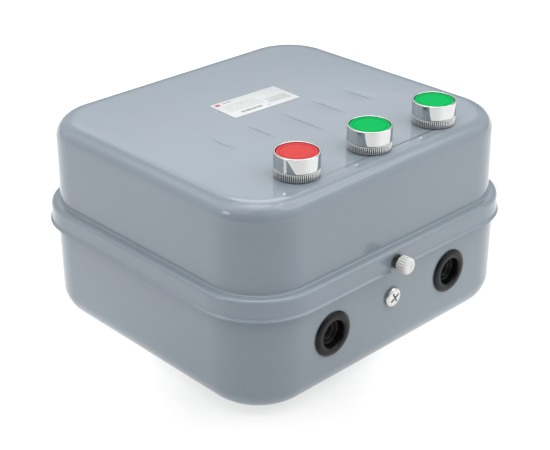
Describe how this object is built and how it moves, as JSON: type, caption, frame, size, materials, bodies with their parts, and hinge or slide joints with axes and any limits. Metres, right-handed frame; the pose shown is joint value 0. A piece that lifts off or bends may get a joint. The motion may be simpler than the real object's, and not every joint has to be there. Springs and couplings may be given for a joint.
{
  "type": "enclosed motor starter",
  "caption": "Sheet-steel case with rounded corners and a lift-up cover, flush push-buttons in chrome bezels, rubber cable grommets, and contactors with an overload relay inside.",
  "frame": {"origin": "centre of the flat back face", "axes": "+Z out of the cover, +X along the row of buttons from red to green, -Y out of the cable entry wall"},
  "size_m": [0.2638, 0.251, 0.1619],
  "materials": {
    "enamel": "glossy stoved enamel",
    "chrome": "bright plated",
    "zinc": "bright zinc plate",
    "dark_steel": "black oxide",
    "red_plastic": "smooth",
    "green_plastic": "smooth",
    "white_plastic": "moulded, knurled",
    "grey_plastic": "fine moulded texture",
    "black_plastic": "fine moulded texture",
    "cream_plastic": "moulded",
    "blue_plastic": "smooth",
    "rubber": "moulded, slightly shiny",
    "laminated_steel": "stacked sheets",
    "coil_wrap": "varnished tape",
    "paper": "printed paper sticker"
  },
  "bodies": {
    "base": {"base_pan": "enamel", "rim_gasket": "rubber", "grommet_left": "rubber", "grommet_right": "rubber", "earth_screw": "zinc", "earth_nut": "zinc", "thumb_stud": "dark_steel", "cover_hook_left": "zinc", "cover_hook_right": "zinc", "mounting_plate": "zinc", "plate_screw_1": "zinc", "plate_screw_2": "zinc", "plate_screw_3": "zinc", "plate_screw_4": "zinc", "contactor_left_housing": "black_plastic", "contactor_left_core": "laminated_steel", "contactor_left_coil": "coil_wrap", "contactor_left_chamber": "black_plastic", "contactor_left_spring": "zinc", "contactor_right_housing": "black_plastic", "contactor_right_core": "laminated_steel", "contactor_right_coil": "coil_wrap", "contactor_right_chamber": "black_plastic", "contactor_right_spring": "zinc", "interlock_housing": "black_plastic", "line_link_bars": "grey_plastic", "load_link_bars": "grey_plastic", "overload_housing": "black_plastic"},
    "cover": {"cover_shell": "enamel", "label": "paper", "button_body_red": "black_plastic", "bezel_ring_red": "chrome", "bezel_red": "chrome", "contact_block_red": "grey_plastic", "cap_spring_red": "zinc", "button_body_green_middle": "black_plastic", "bezel_ring_green_middle": "chrome", "bezel_green_middle": "chrome", "contact_block_green_middle": "grey_plastic", "cap_spring_green_middle": "zinc", "button_body_green_right": "black_plastic", "bezel_ring_green_right": "chrome", "bezel_green_right": "chrome", "contact_block_green_right": "grey_plastic", "cap_spring_green_right": "zinc"},
    "red_button": {"cap_red": "red_plastic"},
    "green_middle_button": {"cap_green_middle": "green_plastic"},
    "green_right_button": {"cap_green_right": "green_plastic"},
    "thumb_washer": {"thumb_washer": "dark_steel"},
    "thumb_nut": {"thumb_nut_insert": "dark_steel", "thumb_nut": "white_plastic"},
    "contactor_left_carrier": {"contactor_left_carrier": "cream_plastic"},
    "interlock_lever_left": {"interlock_lever_left": "cream_plastic"},
    "contactor_right_carrier": {"contactor_right_carrier": "cream_plastic"},
    "interlock_lever_right": {"interlock_lever_right": "cream_plastic"},
    "overload_dial": {"overload_dial": "cream_plastic"},
    "overload_reset_button": {"overload_reset_button": "blue_plastic"},
    "overload_test_button": {"overload_test_button": "red_plastic"}
  },
  "joints": [
    {"name": "cover_lift", "type": "hinge", "parent": "base", "child": "cover", "pos_m": [0, 0.1178, 0.0742], "axis": [-1, 0, 0], "range_deg": [0, 80]},
    {"name": "red_press", "type": "slide", "parent": "cover", "child": "red_button", "axis": [0, 0, -1], "range_m": [0, 0.0035], "stiffness_N_per_m": 600, "springref_m": -0.004, "deforming": ["cap_spring_red"]},
    {"name": "green_middle_press", "type": "slide", "parent": "cover", "child": "green_middle_button", "axis": [0, 0, -1], "range_m": [0, 0.0035], "stiffness_N_per_m": 600, "springref_m": -0.004, "deforming": ["cap_spring_green_middle"]},
    {"name": "green_right_press", "type": "slide", "parent": "cover", "child": "green_right_button", "axis": [0, 0, -1], "range_m": [0, 0.0035], "stiffness_N_per_m": 600, "springref_m": -0.004, "deforming": ["cap_spring_green_right"]},
    {"name": "thumb_washer_slide", "type": "slide", "parent": "base", "child": "thumb_washer", "axis": [0, -1, 0], "range_m": [0, 0.0024]},
    {"name": "thumb_nut_turn", "type": "hinge", "parent": "thumb_washer", "child": "thumb_nut", "pos_m": [-0.0064, -0.11755, 0.078], "axis": [0, -1, 0], "range_deg": [0, 1080]},
    {"name": "contactor_left_pull_in", "type": "slide", "parent": "base", "child": "contactor_left_carrier", "axis": [0, 0, -1], "range_m": [0, 0.005], "stiffness_N_per_m": 500, "springref_m": -0.004, "deforming": ["contactor_left_spring"]},
    {"name": "contactor_right_pull_in", "type": "slide", "parent": "base", "child": "contactor_right_carrier", "axis": [0, 0, -1], "range_m": [0, 0.005], "stiffness_N_per_m": 500, "springref_m": -0.004, "deforming": ["contactor_right_spring"]},
    {"name": "interlock_left_rock", "type": "hinge", "parent": "base", "child": "interlock_lever_left", "pos_m": [0, 0.048, 0.07], "axis": [1, 0, 0], "range_deg": [0, 6]},
    {"name": "interlock_right_rock", "type": "hinge", "parent": "base", "child": "interlock_lever_right", "pos_m": [0, 0.048, 0.07], "axis": [-1, 0, 0], "range_deg": [0, 6]},
    {"name": "overload_dial_turn", "type": "hinge", "parent": "base", "child": "overload_dial", "pos_m": [0.0195, -0.021, 0.068], "axis": [0, 0, 1], "range_deg": [-135, 135]},
    {"name": "overload_reset_press", "type": "slide", "parent": "base", "child": "overload_reset_button", "axis": [0, 0, -1], "range_m": [0, 0.0025], "stiffness_N_per_m": 300, "springref_m": -0.003},
    {"name": "overload_test_press", "type": "slide", "parent": "base", "child": "overload_test_button", "axis": [0, 0, -1], "range_m": [0, 0.0025], "stiffness_N_per_m": 300, "springref_m": -0.003}
  ],
  "couplings": [
    {"joint": "thumb_nut_turn", "follows": "thumb_washer_slide", "rad_per_m": 7853.9},
    {"joint": "interlock_left_rock", "follows": "contactor_left_pull_in", "rad_per_m": 20.944},
    {"joint": "interlock_right_rock", "follows": "contactor_right_pull_in", "rad_per_m": 20.944}
  ]
}
